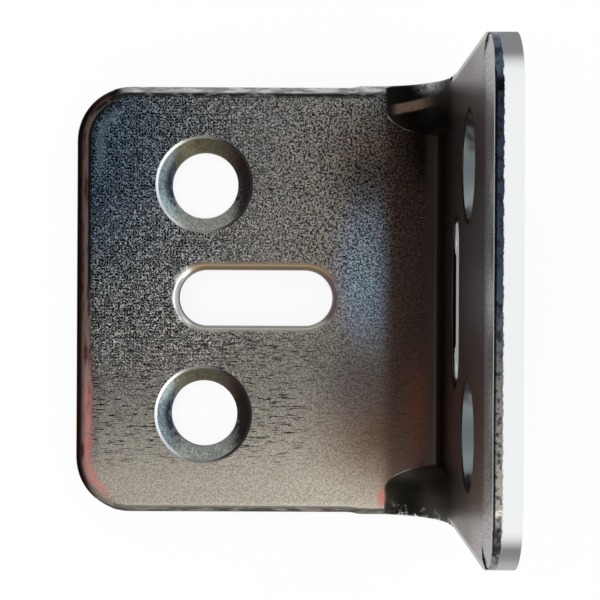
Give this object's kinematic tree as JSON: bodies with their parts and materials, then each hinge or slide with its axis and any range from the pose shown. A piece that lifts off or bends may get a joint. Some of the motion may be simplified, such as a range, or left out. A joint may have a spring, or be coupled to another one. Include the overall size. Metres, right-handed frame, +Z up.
{
  "type": "corner bracket",
  "caption": "Stamped steel corner bracket folded at a right angle, with pressed corner ribs, countersunk screw holes and adjustment slots.",
  "frame": {"origin": "middle of the footprint, on the outer face of the base leaf", "axes": "+Z up from the base leaf's outer face, +X from the base leaf's free edge towards the upright leaf, +Y along the fold"},
  "size_m": [0.0368, 0.0404, 0.0369],
  "materials": {
    "zinc_plated_steel": "bright zinc plating over pressed steel sheet, finely grained and satin, darker in the pressed corners, with bare bright metal where the sheet was cut"
  },
  "bodies": {
    "root": {"corner_bracket": "zinc_plated_steel"}
  },
  "joints": []
}
